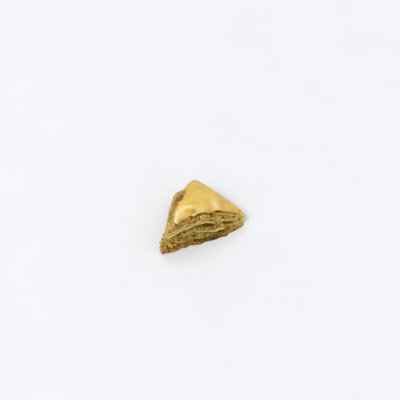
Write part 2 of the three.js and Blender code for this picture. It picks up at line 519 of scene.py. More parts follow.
# Edges of baked leaves: crisp, layered and soaked, so golden with browned tips and a soft sheen
bakedLeafLook = {
    "marks": ("green", "toast", "pale", "soakedAndShaded", "hollow"),
    "noise": {"patches": (2.4, 3.0, 0.6), "grain": (0.5, 2.0, 0.5), "crust": (0.5, 3.0, 0.65)},
    "firstColour": "#ecc862",  # golden
    "layers": [
        ("green", 0.1, 1.1, 1.0, "#c6b052", "MIX"),
        ("toast", 0.15, 1.0, 1.0, "#bb8444", "MIX"),
        # pale leaf edges; on the lip partly a painted highlight
        ("pale", 0.2, 1.0, 0.85, "#f6de90", "MIX"),
        ("patches", 0.52, 0.75, 0.65, "#9f7634", "MIX"),
        ("clingingSyrupAndShade", 0.0, 1.0, 1.0, "#ba9b76", "MULTIPLY"),  # syrup, and painted shade where the patches darken the sides
        ("hollow", 0.1, 0.9, 1.0, "#a3802c", "MULTIPLY"),  # painted shade in the gaps, the deeper the darker, in a syrup brown
    ],
    "shades": [("grain", 0.3, 0.7, 0.82, 1.12)],
    "clingsWhenPale": 0.4,  # a pale leaf has shed its syrup
    # in the gaps the sheen and coat fade too, as part of the painted shade
    "follows": {
        "Specular IOR Level": ("hollow", 0.3, 0.9, 0.3, 0.03),
        "Coat Weight": ("hollow", 0.0, 0.6, 0.28, 0.0),
    },
    "surface": {"Roughness": 0.45, "Coat Roughness": 0.14},
    "bump": ("crust", 0.08, 0.7),
}


def bakedLeaf():
    look = bakedLeafLook
    material, tree, sources = newMaterial("bakedLeafEdge", look)
    clings = addNode(tree, "ShaderNodeMapRange", (sources["pale"], 0.0, 1.0, 1.0, look["clingsWhenPale"]))
    clingingSyrupAndShade = addNode(tree, "ShaderNodeMath", (sources["soakedAndShaded"], clings), operation="MULTIPLY")
    finishMaterial(tree, sources | {"clingingSyrupAndShade": clingingSyrupAndShade}, look)
    return material


# Chopped pistachios soaked in syrup: green to yellow flesh, some with brown skin, wet but rough
nutLook = {
    "marks": ("bit", "green", "toast", "soakedAndShaded", "hollow"),
    "noise": {"grain": (0.35, 3.0, 0.6), "rough": (0.35, 3.0, 0.65)},
    "firstColour": ("#b0a640", "#cab458", 0.1, 0.9),  # green to olive
    "layers": [
        ("green", 0.85, 0.05, 1.0, ("#ecc650", "#f4d374", 0.15, 0.9), "MIX"),  # yellow to cream
        ("toast", 0.2, 0.95, 1.0, ("#a4702e", "#dd9a48", 0.2, 0.8), "MIX"),  # skin to caramel
        ("toast", 0.68, 0.84, 0.9, "#e2923c", "MIX"),  # caught in the oven
        ("fresh", 0.0, 1.0, 0.7, "#b5b646", "MIX"),
        ("bit", 0.12, 0.06, 0.8, "#a4702e", "MIX"),  # bits of skin
        ("soakedAndShaded", 0.0, 1.0, 1.0, "#c8b27e", "MULTIPLY"),  # a film of syrup, and painted shade where the patches darken the sides
        ("hollow", 0.3, 0.95, 1.0, "#a6852a", "MULTIPLY"),  # painted shade between the chunks, the deeper the darker, in a syrup brown
    ],
    "shades": [("ownShade", 0.0, 1.0, 0.68, 1.16), ("grain", 0.3, 0.7, 0.75, 1.15)],
    "freshFrom": 0.9,  # the chunks whose own number is over this are fresh green
    "follows": {"Specular IOR Level": ("hollow", 0.45, 0.9, 0.3, 0.03)},
    "surface": {"Roughness": 0.5, "Coat Roughness": 0.15},
    "bump": ("rough", 0.12, 0.8),
}


def choppedNuts(name, wet):
    # the chunks in a gap have no wet coat, as part of the painted shade there
    look = nutLook | {"follows": nutLook["follows"] | {"Coat Weight": ("hollow", 0.1, 0.6, wet, 0.0)}}
    material, tree, sources = newMaterial(name, look)
    bit, start = sources["bit"], look["freshFrom"]
    raw = addNode(tree, "ShaderNodeMapRange", (bit, start, start + 0.04))
    sources["fresh"] = addNode(tree, "ShaderNodeMath", (raw, sources["green"]), operation="MULTIPLY")
    # a second random number for each chunk, which makes it lighter or darker than its neighbours
    scrambled = addNode(tree, "ShaderNodeMath", (bit, 7.3), operation="MULTIPLY")
    sources["ownShade"] = addNode(tree, "ShaderNodeMath", [scrambled], operation="FRACT")
    finishMaterial(tree, sources, look)
    return material


finishes = {
    "sheet": glazedYufka(),
    "leaf": bakedLeaf(),
    "paste": choppedNuts("syrupSoakedNutPaste", 0.3),
    "nuts": choppedNuts("choppedPistachio", 0.14),
}
print("materials made:", ", ".join(material.name for material in finishes.values()))


# Ledges and gaps of the long cut face: how far each stands out, or lies back if under 0, how far it
# tapers above and below, both in mm, and its line of (x, share)
frontRelief = [
    (-2.6, 1.15, [(-25, 0.63), (-14, 0.64), (-8, 0.665), (0, 0.66), (5, 0.60), (9, 0.52)]),  # under the lip
    (-3.0, 1.7, [(1, 0.59), (6, 0.55), (9, 0.50)]),  # open fold
    (-2.0, 0.8, [(-8, 0.91), (0, 0.915), (5, 0.89), (10, 0.875)]),  # under the sheet
    (-2.0, 0.85, [(12, 0.91), (18, 0.93), (30, 0.925)]),
    (-1.2, 0.8, [(-1, 0.40), (3, 0.34), (8, 0.29)]),  # under the wavy leaf
    (-2.8, 1.2, [(8.5, 0.29), (12, 0.27), (17, 0.24)]),
    (-3.8, 1.7, [(18, 0.51), (21, 0.49), (24, 0.50), (28.5, 0.55)]),  # inside the scroll
    (-2.0, 0.9, [(-9, 0.19), (-6, 0.175), (-3, 0.15)]),
    (-0.9, 1.7, [(-3, 0.07), (5, 0.05), (17, 0.07)]),
    (-1.2, 0.8, [(-31, 0.62), (-29, 0.6), (-27, 0.45), (-27, 0.35)]),
    (-0.7, 0.6, [(-24, 0.36), (-14, 0.41), (-6, 0.36)]),
    (0.7, 1.0, [(-10, 0.55), (0, 0.50), (7, 0.46), (12, 0.5)]),
    (-1.1, 0.6, [(-24, 0.97), (-18, 0.95), (-12, 0.93)]),
    (1.8, 0.8, [(3.5, 0.85), (6.5, 0.84)]),
    (1.0, 0.8, [(12.5, 0.84), (14.5, 0.84)]),
    (-1.0, 0.8, [(8, 0.79), (15, 0.80), (20, 0.79), (30, 0.80)]),
]


def reliefOf(turn, share, x, front):
    total = np.zeros_like(share)
    uneven = 0.35 * wavy(turn, 77, 9, 60, 7)
    for out, reach, line in frontRelief:
        lineX, lineShare = np.array(line).T
        away = (share - np.interp(x, lineX, lineShare)) * usualHeight + uneven
        ends = fade(x, lineX[0] - 2, lineX[0] + 1.5) * (1 - fade(x, lineX[-1] - 1.5, lineX[-1] + 2))
        total += front * out * ends * soft(away, reach)
    return total


# Folds and hollows of the top: the width and height of each at its start and end, and its line of
# plan points
sheetFolds = [
    ((3.6, 1.6), (0.75, 0.75), [(-19.0, -16.8), (-17.8, -13.8), (-15.0, -11.4), (-12.4, -9.7),
                                (-10.0, -8.5), (-7.0, -8.2), (-4.3, -9.4), (-2.8, -11.3)]),
    ((1.9, 1.9), (-0.5, -0.75), [(-12.6, -15.2), (-9.6, -13.2), (-6.6, -12.4)]),
    ((3.6, 3.0), (0.6, 0.3), [(15.5, -15.5), (15.7, -11.0), (15.8, -5.0), (14.0, 1.0)]),
    ((7.5, 7.5), (0.3, 0.3), [(-1.0, -6.0), (4.0, 4.0), (8.0, 14.0)]),
    ((1.6, 1.8), (-0.1, -0.3), [(-8.0, -4.5), (2.0, -8.0), (8.0, -14.5)]),
    ((1.8, 1.6), (-0.25, -0.15), [(20.5, -15.0), (22.5, -6.0), (20.0, 3.0)]),
    ((0.9, 0.9), (-0.7, -0.5), [(-7.0, -15.4), (-5.4, -13.6), (-3.6, -12.4)]),
    ((2.4, 2.0), (0.22, 0.15), [(26.0, -14.0), (19.0, -1.0), (11.0, 13.0)]),
]


def alongLine(x, y, line):
    # distance from a plan line of points, and how far along the line that is, from 0 to 1
    fine = evenly(np.array(line, float), 60, closed=False)
    fine = np.stack([smoothed(fine[:, k], 7) for k in (0, 1)], -1)
    best = np.full(np.shape(x), 1e9)
    along = np.zeros(np.shape(x))
    for i, (a, b) in enumerate(zip(fine[:-1], fine[1:])):
        d = b - a
        t = np.clip(((x - a[0]) * d[0] + (y - a[1]) * d[1]) / (d @ d + 1e-9), 0, 1)
        away = np.hypot(x - a[0] - t * d[0], y - a[1] - t * d[1])
        along = np.where(away < best, (i + t) / (len(fine) - 1), along)
        best = np.minimum(best, away)
    return best, along


def foldHeight(x, y):
    total = np.zeros(np.shape(x))
    for wide, lift, line in sheetFolds:
        away, along = alongLine(x, y, line)
        total += mix(*lift, along) * soft(away, mix(*wide, along))
    return total


# The crumbled face: chunks of nut and short crumb, pushed in and out of a layer's cut side
crumbSizes = {
    "Chunk Size": 2.5 * mm,
    "Chunk Relief": 1.15 * mm,
    "Grain Size": 0.8 * mm,
    "Grain Relief": 0.3 * mm,
}
crumbPattern = {
    "warpSize": 1.6,  # mm; the pattern is warped, so that the chunks are broken shapes and not balls
    "warpBy": 2.2,  # mm
    "dome": (0.35, -0.4),  # how far the middle and the edge of a chunk stand out, as shares of the relief
    "seamWidth": 0.17,  # against the size of a chunk
    "seamDepth": 0.75,
    "allLower": 0.35,
    "grainDome": (0.6, -0.9),
    "smoothShare": 0.25,  # relief of a smooth patch against that of a crumbly one
    "lit": 0.3,  # mm out of the side, where the shade of the hollows starts
    "dark": -0.75,  # and where it is full
}


def crumbledTree(material):
    form = crumbPattern
    tree, given, result = newShapeTree("crumbledFace", crumbSizes)
    place = addNode(tree, "GeometryNodeInputPosition")
    outward = addNode(tree, "GeometryNodeInputNamedAttribute", ["outward"], data_type="FLOAT_VECTOR")
    crumbly = addNode(tree, "GeometryNodeInputNamedAttribute", ["crumbly"])
    chunkScale = addNode(tree, "ShaderNodeMath", (1.0, given["Chunk Size"]), operation="DIVIDE")
    grainScale = addNode(tree, "ShaderNodeMath", (1.0, given["Grain Size"]), operation="DIVIDE")
    inputs = {"Vector": place, "Scale": 1 / (form["warpSize"] * mm), "Detail": 2.0}
    warp = addNode(tree, "ShaderNodeTexNoise", inputs).outputs["Color"]
    warpBy = [form["warpBy"] * mm] * 3
    warped = addNode(tree, "ShaderNodeVectorMath", (warp, warpBy, place), operation="MULTIPLY_ADD")
    inputs = {"Vector": warped, "Scale": chunkScale}
    chunk = addNode(tree, "ShaderNodeTexVoronoi", inputs, feature="F1")
    seam = addNode(tree, "ShaderNodeTexVoronoi", inputs, feature="DISTANCE_TO_EDGE")
    grain = addNode(tree, "ShaderNodeTexVoronoi", {"Vector": warped, "Scale": grainScale}, feature="F1")
    bit = addNode(tree, "FunctionNodeSeparateColor", [chunk.outputs["Color"]])
    # each chunk is domed, stands out by its own amount, and has a gap round it
    crack = addNode(tree, "ShaderNodeMapRange", (seam, 0.0, form["seamWidth"], 1.0, 0.0))
    domed = addNode(tree, "ShaderNodeMapRange", (chunk, 0.0, 0.9, *form["dome"]))
    stands = addNode(tree, "ShaderNodeMath", (domed, bit.outputs["Green"]), operation="ADD")
    inputs = (crack, -form["seamDepth"], stands)
    stands = addNode(tree, "ShaderNodeMath", inputs, operation="MULTIPLY_ADD")
    stands = addNode(tree, "ShaderNodeMath", (stands, form["allLower"]), operation="SUBTRACT")
    chunkOut = addNode(tree, "ShaderNodeMath", (stands, given["Chunk Relief"]), operation="MULTIPLY")
    rise = addNode(tree, "ShaderNodeMapRange", (grain, 0.0, 0.8, *form["grainDome"]))
    grainOut = addNode(tree, "ShaderNodeMath", (rise, given["Grain Relief"]), operation="MULTIPLY")
    both = addNode(tree, "ShaderNodeMath", (chunkOut, grainOut), operation="ADD")
    share = addNode(tree, "ShaderNodeMapRange", (crumbly, 0.0, 1.0, form["smoothShare"], 1.0))
    out = addNode(tree, "ShaderNodeMath", (both, share), operation="MULTIPLY")
    offset = addNode(tree, "ShaderNodeVectorMath", (outward, out), operation="SCALE")
    kept = addNode(tree, "GeometryNodeSetPosition", {"Geometry": given["Geometry"], "Offset": offset})
    # the hollow mark is painted shade: the further in a point lies, the darker the materials make it
    hollow = addNode(tree, "ShaderNodeMapRange", (out, form["lit"] * mm, form["dark"] * mm))
    for name, value in (("bit", bit.outputs["Red"]), ("hollow", hollow)):
        inputs = {"Geometry": kept, "Name": name, "Value": value}
        kept = addNode(tree, "GeometryNodeStoreNamedAttribute", inputs, data_type="FLOAT")
    endShapeTree(tree, result, kept, material)
    return tree


# The bodies of the layers: their shares of the height, how far their side lies inside the outline
# in mm, and what differs from the usual crumb
crumbledLayers = {
    "nutFilling": (baseShare, fillingShare, 1.05, {}),
    "baseBody": (0.0, baseShare, 0.5, {"Chunk Size": 1.9 * mm, "Chunk Relief": 0.9 * mm}),
    "topStackBody": (fillingShare, 0.96, 1.0, {"Chunk Size": 1.7 * mm, "Chunk Relief": 0.75 * mm}),
}
crumbledForm = {
    "rowPitch": 0.28,  # mm from one ring of points to the next
    "under": (0.35, 0.75, 0.93),  # rings below and above the side, as shares of the way out
    "over": (*np.linspace(0.98, 0.8, 10), 0.6, 0.35),
    "unevenness": 1.5,  # mm in and out
    "unevenSize": 4.2,  # mm along the side
    "darkDepth": 1.9,  # mm, of a gap that is wholly in painted shade
    "bareAt": (-12.0, 4.0),  # the top is crumbled too, where the sheet has broken off short
    "bareHalf": (5.0, 7.0),
    "bareFrom": (0.78, 0.84),  # of the way out
    "bareRelief": 0.9,  # against that of the side
    "bareLooseness": 3,
    "topDepth": 0.4,  # how much painted shade the top gets, which leaves cover
    "endRelief": 0.25,  # where a side starts and ends, against that of its middle
    "calmInGaps": 0.6,  # how much less crumbly the bottom of a gap is
    "calmRim": (0.9, 0.94),  # shares of the height where the side calms down under the sheet
}


def crumbledLayer(name, low, high, inset, sizes):
    form = crumbledForm
    still = np.zeros((turnCount, 3))
    middle = np.array(pieceForm["middle"])
    rings = []  # of points, which way they are pushed, how loosely, and how deep in a gap they lie, for painted shade
    for way in form["under"]:
        plan = mix(middle, wallPoint(wallTurns, low, -inset)[:, :2], way)
        height = low * topHeight(plan[:, 0], plan[:, 1])
        rings.append((np.c_[plan, height], still, still[:, 0], 1 + still[:, 0]))
    rows = int((high - low) * usualHeight / form["rowPitch"])
    for k in range(rows + 1):
        share = np.full(turnCount, mix(low, high, k / rows))
        here = wallPoint(wallTurns, share)
        outward = outwardAt(wallTurns, share)
        ends = min(1.0, 4.0 * min(k, rows - k) / rows + form["endRelief"])
        ledge = reliefOf(wallTurns, share, here[:, 0], facingFront(outward))
        out = -inset + ledge + form["unevenness"] * (lumps(here, form["unevenSize"], 51) - 0.5)
        deep = np.clip(-ledge / form["darkDepth"], 0, 1)
        push = np.c_[outward, still[:, 0]] * ends
        rings.append((wallPoint(wallTurns, share, out), push, 1 + still[:, 0], deep))
    bareX, bareY = form["bareAt"]
    halfX, halfY = form["bareHalf"]
    for way in form["over"]:
        plan = mix(middle, wallPoint(wallTurns, high, -inset)[:, :2], way)
        lift = foldHeight(plan[:, 0], plan[:, 1]) if high > fillingShare else 0.0
        height = high * topHeight(plan[:, 0], plan[:, 1]) + lift
        bare = np.exp(-(((plan[:, 0] - bareX) / halfX) ** 2) - ((plan[:, 1] - bareY) / halfY) ** 2)
        bare = bare * fade(way, *form["bareFrom"])
        push = np.c_[0 * plan, form["bareRelief"] * bare]
        loose = form["bareLooseness"] * bare
        rings.append((np.c_[plan, height], push, loose, form["topDepth"] + still[:, 0]))
    places, pushes, loosenesses, depths = zip(*rings)
    obj = closedShell(name, places)
    loose = np.r_[0, np.concatenate(loosenesses), 0]
    depth = np.r_[1, np.concatenate(depths), 1]
    # leaves and sheet need a smooth rim to lie on, where the top isn't bare
    covered = (1 - np.clip(loose - 1, 0, 1)) * fade(shareOf(pointsOf(obj)), *form["calmRim"])
    crumbly = zones(pointsOf(obj))["crumbly"] * np.clip(loose, 0, 1)
    crumbly = crumbly * (1 - form["calmInGaps"] * depth) * (1 - covered)
    setAttribute(obj, "outward", np.vstack([still[:1], *pushes, still[:1]]))
    setAttribute(obj, "crumbly", crumbly)
    shapeWith(crumbled, obj, sizes)
    # depth in a gap adds to the hollow mark, which paints shade
    setAttribute(obj, "hollow", np.clip(attributeOf(obj, "hollow") + depth, 0, 1))
    paintZones(obj)
    return obj


crumbled = crumbledTree(finishes["paste"])
filling, baseBody, topBody = (crumbledLayer(name, *form) for name, form in crumbledLayers.items())
report("crumbled layers made:", filling, baseBody, topBody)


# Pastry leaves seen edge on. Each follows a line along the cut sides and runs inwards from it. It
# is as thick as two or three real leaves stuck together, because a single one would not show.
leafSizes = {
    "Leaf Thickness": 0.38 * mm,
    "Leaf Depth": 3.0 * mm,
    "Ragged Depth": 0.65 * mm,
    "Ragged Size": 1.3 * mm,
    "Wave Height": 0.5 * mm,
    "Wave Size": 7.0 * mm,
}


def leafTree(material):
    tree, given, result = newShapeTree("pastryLeaves", leafSizes)
    place = addNode(tree, "GeometryNodeInputPosition")
    outward = addNode(tree, "GeometryNodeInputNamedAttribute", ["outward"], data_type="FLOAT_VECTOR")
    leaf = addNode(tree, "GeometryNodeInputNamedAttribute", ["leaf"])
    thick = addNode(tree, "GeometryNodeInputNamedAttribute", ["thick"])
    # the ragged edges of neighbouring leaves differ, and their waves nearly run together
    moves = []
    for size, apart, detail, rough, low, high, reach in (
        ("Ragged Size", 7.3, 4.0, 0.62, -1.4, 0.6, "Ragged Depth"),
        ("Wave Size", 0.22, 3.0, 0.55, -1.0, 1.0, "Wave Height"),
    ):
        scale = addNode(tree, "ShaderNodeMath", (1.0, given[size]), operation="DIVIDE")
        number = addNode(tree, "ShaderNodeMath", (leaf, apart), operation="MULTIPLY")
        inputs = {"Vector": place, "W": number, "Scale": scale, "Detail": detail, "Roughness": rough}
        noise = addNode(tree, "ShaderNodeTexNoise", inputs, noise_dimensions="4D")
        move = addNode(tree, "ShaderNodeMapRange", (noise, 0.25, 0.75, low, high))
        moves.append(addNode(tree, "ShaderNodeMath", (move, given[reach]), operation="MULTIPLY"))
    sideways = addNode(tree, "ShaderNodeVectorMath", (outward, moves[0]), operation="SCALE")
    upwards = addNode(tree, "ShaderNodeCombineXYZ", {"Z": moves[1]})
    offset = addNode(tree, "ShaderNodeVectorMath", (sideways, upwards), operation="ADD")
    moved = addNode(tree, "GeometryNodeSetPosition", {"Geometry": given["Geometry"], "Offset": offset})
    line = addNode(tree, "GeometryNodeMeshToCurve", [moved])
    upright = addNode(tree, "GeometryNodeSetCurveNormal", {"Curve": line, "Normal": outward}, mode="FREE")
    # the leaf's section thins out towards the edge, which lies on the line
    thickness, depth = given["Leaf Thickness"], given["Leaf Depth"]
    tip = addNode(tree, "ShaderNodeMath", (thickness, 0.55), operation="MULTIPLY")
    inputs = {"Height": depth, "Bottom Width": tip, "Top Width": thickness, "Offset": 0.0}
    strip = addNode(tree, "GeometryNodeCurvePrimitiveQuadrilateral", inputs, mode="TRAPEZOID")
    roundOff = addNode(tree, "ShaderNodeMath", (thickness, 0.2), operation="MULTIPLY")
    inputs = {"Curve": strip, "Radius": roundOff, "Count": 1}
    rounded = addNode(tree, "GeometryNodeFilletCurve", inputs, mode="POLY")
    half = addNode(tree, "ShaderNodeMath", (depth, -0.5), operation="MULTIPLY")
    shift = addNode(tree, "ShaderNodeCombineXYZ", {"X": half})
    inputs = {"Geometry": rounded, "Translation": shift, "Rotation": (0, 0, math.pi / 2)}
    section = addNode(tree, "GeometryNodeTransform", inputs)
    inputs = {"Curve": upright, "Profile Curve": section, "Scale": thick, "Fill Caps": True}
    swept = addNode(tree, "GeometryNodeCurveToMesh", inputs)
    flat = addNode(tree, "GeometryNodeSetShadeSmooth", {"Geometry": swept, "Shade Smooth": False})
    endShapeTree(tree, result, flat, material)
    return tree


leaves = leafTree(finishes["leaf"])
leafPoints = 460  # of a leaf that goes all the way round
fullTurn = np.arange(0, 1, 1 / leafPoints)
leafForm = {
    "darkDepth": 1.6,  # mm, of a gap where a leaf is wholly in painted shade
    "foldLift": 0.9,  # how much of the folds of the top a leaf under the sheet takes on
    "foldFrom": (0.85, 0.97),  # shares of the height between which it starts to
}
partLeafForm = {
    "sideTurns": (0.40, 0.93),  # turns of the right, back and left sides
    "outlineLength": 190.0,  # mm
    "step": 0.4,  # mm from point to point
    "slant": 0.35,
    "thinEnds": (0.35, 0.75, 0.15),  # thickness of the ends, what the middle adds, and over what share
    "drawnBack": (1.5, 0.12),  # mm that the ends lie further in, and over what share
    "palest": 0.7,
}


def leafPiece(name, lines, sizes):
    # one piece from many leaf lines; each is (turns, shares, outs, thickness, paleness, closed)
    points, edges = [], []
    marks = {mark: [] for mark in ("outward", "leaf", "thick", "pale", "hollow")}
    for number, (turn, share, out, thickness, paleness, closed) in enumerate(lines):
        start = len(points)
        outward = outwardAt(turn, share)
        place = wallPoint(turn, share, out)
        hollow = np.zeros(len(place))
        if closed:
            # a leaf that goes all the way round dips into the gaps of the front and rises with the
            # folds of the top
            ledge = np.minimum(reliefOf(turn, share, place[:, 0], facingFront(outward)), 0)
            place = wallPoint(turn, share, out + ledge)
            lift = leafForm["foldLift"] * foldHeight(place[:, 0], place[:, 1])
            place[:, 2] += lift * fade(share, *leafForm["foldFrom"])
            # the deeper a leaf dips into a gap, the darker it is painted, as painted shade
            hollow = np.clip(-ledge / leafForm["darkDepth"], 0, 1)
        count = len(place)
        points.extend(place)
        last = count if closed else count - 1
        edges.extend((start + i, start + (i + 1) % count) for i in range(last))
        marks["outward"].extend(np.c_[outward, np.zeros(count)])
        marks["leaf"].extend([number + 1.0] * count)
        marks["thick"].extend(thickness)
        marks["pale"].extend([paleness] * count)
        marks["hollow"].extend(hollow)
    obj = newMesh(name, points, edges=edges)
    for mark, values in marks.items():
        setAttribute(obj, mark, values)
    shapeWith(leaves, obj, sizes)
    paintZones(obj)
    return obj


def partLeaf(rng, low, high, shortest, longest, out):
    # a leaf that shows along part of the sides, tapering away at its ends
    form = partLeafForm
    length = rng.uniform(shortest, longest)
    way = np.linspace(0, 1, int(length / form["step"]))
    turn = rng.uniform(*form["sideTurns"]) + way * (length / form["outlineLength"])
    share = mix(rng.uniform(low, high), rng.uniform(low, high), way * form["slant"])
    ends = np.minimum(way, way[::-1])
    thinnest, more, thinOver = form["thinEnds"]
    thickness = thinnest + more * fade(ends, 0, thinOver)
    back, backOver = form["drawnBack"]
    out = out - back * (1 - fade(ends, 0, backOver))
    return turn, share, out, thickness, rng.uniform(0, form["palest"]), False


def frontLeaf(line, out, thickness, paleness, step=0.35, taper=4.0):
    # a leaf of the long cut face through (x, share) points. The step is in mm from point to point,
    # and the taper is how many mm its ends take to draw back and thin out.
    places = np.array(line, float)
    flat = places * (1.0, usualHeight)
    run = np.r_[0, np.cumsum(np.linalg.norm(np.diff(flat, axis=0), axis=1))]
    at = np.arange(0, run[-1], step)
    x = smoothed(np.interp(at, run, flat[:, 0]), 5)
    share = smoothed(np.interp(at, run, places[:, 1]), 5)
    turn = np.array([frontTurn(a, b) for a, b in zip(x, share)])
    ends = np.minimum(at, run[-1] - at)
    outs = out - (out + 0.6) * (1 - fade(ends, 0, taper))
    return turn, share, outs, thickness * (0.4 + 0.6 * fade(ends, 0, 0.75 * taper)), paleness, False


shortFrom = 0.94  # leaves above this share of the height end under the sheet and broke off with it
shortBy = 2.6  # mm at most, on the left side
topFacing = outwardAt(fullTurn, np.ones(leafPoints))
awayFromFront = 1 - fade(-topFacing[:, 1], 0.1, 0.5)
brokenLeft = facingLeft(topFacing) * soft(wallPoint(fullTurn, 1.0)[:, 1] - 4, 6)


def stackLines(form):
    # leaves that go all the way round, one at each share of the height
    lines = []
    for k, share in enumerate(form["shares"]):
        ragged = wavy(fullTurn, form["seed"] + k, 2, form["finest"], 3) + form["lean"]
        out = form["out"] - form["ragged"] * ragged - form["everyOtherBack"] * (k % 2)
        covered = np.interp(wallPoint(fullTurn, share)[:, 0], form["coveredAt"], form["coveredBy"])
        out = out - facingFront(outwardAt(fullTurn, np.full(leafPoints, share))) * covered
        if share > shortFrom:
            out = out + 0.55 * awayFromFront - shortBy * brokenLeft
        uneven = wavy(fullTurn, form["seed"] + 100 + k, 3, 20, 4)
        thickness = form["thickness"] + form["uneven"] * uneven
        ripple = form["ripple"] * wavy(fullTurn, form["seed"] + 200 + k // 2, 3, 30, 4) * min(1, k)
        paleness = form["paleness"] + form["everyThirdPaler"] * (k % 3 == 0)
        lines.append((fullTurn, share + ripple, out, thickness, paleness, True))
    return lines


# Leaves of the top stack go all the way round at these shares of the height. Others show on the
# long cut face alone: their line of (x, share), how far they stand out in mm, how thick they are
# against a usual leaf, and how pale.
lip = [(-34, 0.79), (-28, 0.77), (-22, 0.755), (-15, 0.76), (-10, 0.75), (-5, 0.76), (0, 0.755),
       (4, 0.74), (8, 0.705), (9.8, 0.66), (11, 0.58)]
topStack = {
    "shares": (0.775, 0.805, 0.835, 0.865, 0.895, 0.925, 0.95, 0.972),
    "seed": 200,
    "out": 0.1,
    "ragged": 0.45,
    "finest": 14,  # waves round the outline
    "lean": 0.6,  # inwards, against how ragged the edge is
    "everyOtherBack": 0.5,
    "coveredAt": (-10, -4, 32, 35),  # where crumb covers the leaves, along x
    "coveredBy": (0, 0.45, 0.45, 0),  # and how far they lie back there
    "thickness": 0.85,  # against a usual leaf
    "uneven": 0.3,
    "ripple": 0.0,  # up and down, as a share of the height
    "paleness": 0.25,
    "everyThirdPaler": 0.3,
    "frontLeaves": [
        (lip, 1.5, 1.25, 1.0),  # the lip of the stack curls down at its right end; its full paleness is partly painted highlight
        ([(x, share + 0.022) for x, share in lip[2:9]], 1.0, 0.8, 0.35),
        ([(-33, 0.86), (-28, 0.84), (-21, 0.81), (-12, 0.795)], 0.9, 0.9, 0.85),
        ([(9, 0.68), (12, 0.72), (19.5, 0.74), (24.5, 0.735), (33, 0.72)], 0.7, 0.9, 0.5),
        ([(-8, 0.86), (-2, 0.83), (5, 0.80), (11, 0.78), (18, 0.79), (28, 0.83)], 0.3, 0.8, 0.1),
        ([(14, 0.895), (18, 0.885), (25, 0.87), (33, 0.85)], 0.4, 0.8, 0.4),
    ],
}
topLines = stackLines(topStack) + [frontLeaf(*row) for row in topStack["frontLeaves"]]
topLeaves = leafPiece("topLeaves", topLines, {})

# Leaves in the filling: those of the long cut face, some with a step and taper of their own, and
# short ones strewn over the other sides
waveLeaf = [(-8, 0.56), (-4, 0.51), (0, 0.465), (5, 0.405), (8, 0.37), (10.5, 0.37), (14, 0.385),
            (18.5, 0.365)]
scroll = [(13.0, 0.56), (14.0, 0.635), (17.0, 0.665), (21, 0.665), (25, 0.66), (29, 0.655), (31, 0.55),
          (29, 0.44), (26.9, 0.48), (27.3, 0.55), (28.6, 0.57)]  # rolled up, and open in the middle
fillingForm = {
    "frontLeaves": [
        (waveLeaf, 1.0, 1.05, 0.9, 0.35, 1.6),
        (scroll, 0.7, 1.1, 0.7, 0.25, 1.0),
        ([(-23, 0.29), (-14, 0.31), (-7, 0.28)], 0.3, 1.3, 0.1),
        ([(19, 0.42), (25, 0.40), (32, 0.36)], 0.3, 0.8, 0.3),
        ([(16, 0.17), (23, 0.2), (32, 0.24)], 0.3, 0.8, 0.2),
    ],
    "strewnCount": 17,
    "strewn": {"low": 0.2, "high": 0.72, "shortest": 9, "longest": 40, "out": 0.25},
    "sizes": {"Leaf Depth": 2.4 * mm, "Wave Height": 0.35 * mm},
}
rng = np.random.default_rng(12)
fillingLines = [frontLeaf(*row) for row in fillingForm["frontLeaves"]]
fillingLines += [partLeaf(rng, **fillingForm["strewn"]) for k in range(fillingForm["strewnCount"])]
fillingLeaves = leafPiece("fillingLeaves", fillingLines, fillingForm["sizes"])

# Leaves of the base, baked together and all but flat
baseStack = {
    "shares": (0.012, 0.04, 0.068, 0.1, 0.132),
    "seed": 400,
    "out": 0.2,
    "ragged": 0.6,
    "finest": 26,
    "lean": 0.5,
    "everyOtherBack": 0.0,
    "coveredAt": (-36, -33, -24, -20, -8, -4, 9, 30),
    "coveredBy": (1.3, 1.6, 1.2, 0.2, 0.2, 1.3, 1.1, 0.8),
    "thickness": 0.9,
    "uneven": 0.25,
    "ripple": 0.012,
    "paleness": 0.0,
    "everyThirdPaler": 0.0,
}
baseLeafSizes = {"Wave Height": 0.15 * mm, "Leaf Thickness": 0.36 * mm}
baseLeaves = leafPiece("baseLeaves", stackLines(baseStack), baseLeafSizes)
report("leaves made:", topLeaves, fillingLeaves, baseLeaves)


# The glazed sheet. "front" and "left" say how far its edge stands out of the stack, in mm, along
# x on the long cut side and along y on the left one, where it has broken off short. "droop" says
# how far its front edge hangs, in mm, along x.
sheetForm = {
    "thickness": 0.4,
    "overhang": 0.35,
    "usualDroop": 0.3,
    "droopWidth": 1.3,
    "ragged": 0.16,
    "tornMore": 1.2,  # how much more ragged the edge is where the sheet has broken off
    "tornFrom": (-4, 1),  # along y
    "tornTo": (9, 14),
    "unevenness": ((0.35, 6.0, 21), (0.06, 2.4, 22)),  # height and size in mm, and seed
    "rings": 74,
    "ringPower": 1.25,  # over 1 draws the rings together near the edge
    "roundedAt": (-21.5, -18.3),  # the front left corner
    "roundedReach": 4.0,
    "softenedOver": 25,  # points, by which it is rounded
    "rim": 0.25,  # width over which the edge is rounded
    "rimDrop": 0.08,  # of its upper side
    "rimRise": 0.12,  # of its underside
    "front": [(-21, -1.5), (-18, -0.9), (-12, -0.7), (-8.5, -1.1), (-7, -0.6), (-5.5, 0.4), (-3.5, 0.3),
              (-2, 0), (1, 0), (4, 0.3), (7, 1.1), (10.5, 0.8), (13.5, -0.1), (16, -0.5), (20, 0.1),
              (28, -0.3), (32, -0.3), (35.5, 0.9)],
    "left": [(-18, -1.4), (-15, -0.2), (-13, 0.6), (-11, 0.8), (-9, 0.6), (-6.5, 0.1), (-4.5, -0.5),
             (0.5, -0.5), (2, -2.4), (3.5, -3.4), (6, -2.5), (8.5, -1.9), (11.5, -1.3), (14, -0.1),
             (17, 0.6)],
    "droop": [(-22, 0.9), (-17, 0.4), (-9, 0.1), (-5, 0.4), (-2, 0.1), (3, 0.3), (9, 0.5), (14, 0.2),
              (36, 0.3)],
}
